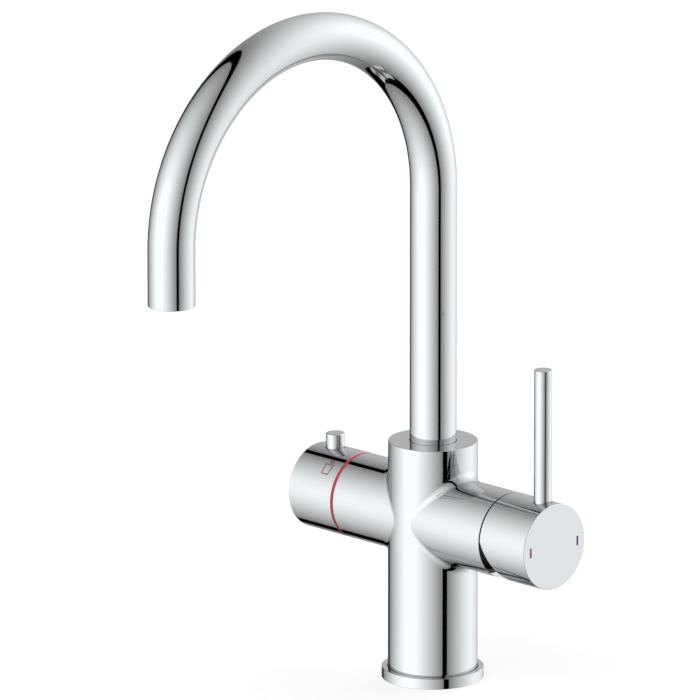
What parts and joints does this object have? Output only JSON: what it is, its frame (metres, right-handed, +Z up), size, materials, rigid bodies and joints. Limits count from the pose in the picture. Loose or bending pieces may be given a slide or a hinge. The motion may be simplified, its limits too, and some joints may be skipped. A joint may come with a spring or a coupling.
{
  "type": "boiling water tap",
  "caption": "Chromed kitchen tap with a high arched swivel spout, a mixer arm with a pin lever and a boiling-water arm with a safety peg on a slim round body.",
  "frame": {"origin": "centre of the underside, on the body's axis, in the plane that rests on the worktop", "axes": "+Z up along the body's axis, -Y towards the spout's outlet, +X towards the mixer arm, -X towards the boiling-water arm"},
  "size_m": [0.176, 0.2333, 0.3794],
  "materials": {
    "chrome": "polished chrome plate",
    "brass": "turned",
    "rubber": "matte black",
    "silicone": "food-grade silicone, smooth",
    "ceramic": "lapped",
    "nylon": "moulded",
    "black_plastic": "moulded",
    "steel": "fine turned",
    "red_plastic": "gloss"
  },
  "bodies": {
    "tap_body": {"body_casting": "chrome", "base_ring": "chrome", "base_gasket": "rubber", "inlet_manifold": "brass", "manifold_gasket": "rubber", "spout_glide_ring": "nylon", "boiling_nipple": "brass", "spout_stop_screw": "steel", "cartridge_seal": "rubber", "cartridge_base": "nylon", "fixed_disc": "ceramic", "cartridge_housing": "nylon", "cartridge_nut": "brass", "cartridge_cover": "chrome", "valve_seal": "rubber", "valve_fixed_disc": "ceramic", "valve_body": "brass", "red_ring": "red_plastic", "lock_collar": "steel"},
    "spout": {"spout_tube": "chrome", "spout_foot": "brass", "spout_seal_upper": "rubber", "spout_seal_lower": "rubber", "boiling_hose": "silicone", "aerator_housing": "steel", "aerator_insert": "black_plastic", "aerator_washer": "rubber"},
    "mixer_carrier": {"stem_carrier": "nylon", "stem_pin": "steel"},
    "mixer_disc": {"moving_disc": "ceramic"},
    "mixer_handle": {"mixer_stem": "brass", "mixer_cap": "chrome", "mixer_lever": "chrome"},
    "boiling_handle": {"valve_moving_disc": "ceramic", "valve_stem": "brass", "stem_seal": "rubber", "boiling_cap": "chrome", "handle_screw": "steel", "button_spring": "steel"},
    "safety_peg": {"safety_button": "chrome", "button_clip": "steel"}
  },
  "joints": [
    {"name": "spout_swivel", "type": "hinge", "parent": "tap_body", "child": "spout", "pos_m": [0, 0, 0.1308], "axis": [0, 0, 1], "range_deg": [-75, 75]},
    {"name": "mixer_turn", "type": "hinge", "parent": "tap_body", "child": "mixer_carrier", "pos_m": [0.05, 0, 0.0895], "axis": [1, 0, 0], "range_deg": [-45, 45]},
    {"name": "mixer_tilt", "type": "hinge", "parent": "mixer_carrier", "child": "mixer_handle", "pos_m": [0.05, 0, 0.0895], "axis": [0, 1, 0], "range_deg": [0, 20]},
    {"name": "disc_slide", "type": "slide", "parent": "mixer_carrier", "child": "mixer_disc", "axis": [0, 0, 1], "range_m": [0, 0.0035]},
    {"name": "boiling_turn", "type": "hinge", "parent": "tap_body", "child": "boiling_handle", "pos_m": [-0.0736, 0, 0.0895], "axis": [1, 0, 0], "range_deg": [0, 90]},
    {"name": "peg_press", "type": "slide", "parent": "boiling_handle", "child": "safety_peg", "axis": [0, 0, -1], "range_m": [0, 0.0024], "stiffness_N_per_m": 300, "springref_m": -0.004, "deforming": ["button_spring"]}
  ],
  "couplings": [
    {"joint": "disc_slide", "follows": "mixer_tilt", "m_per_rad": 0.01}
  ]
}
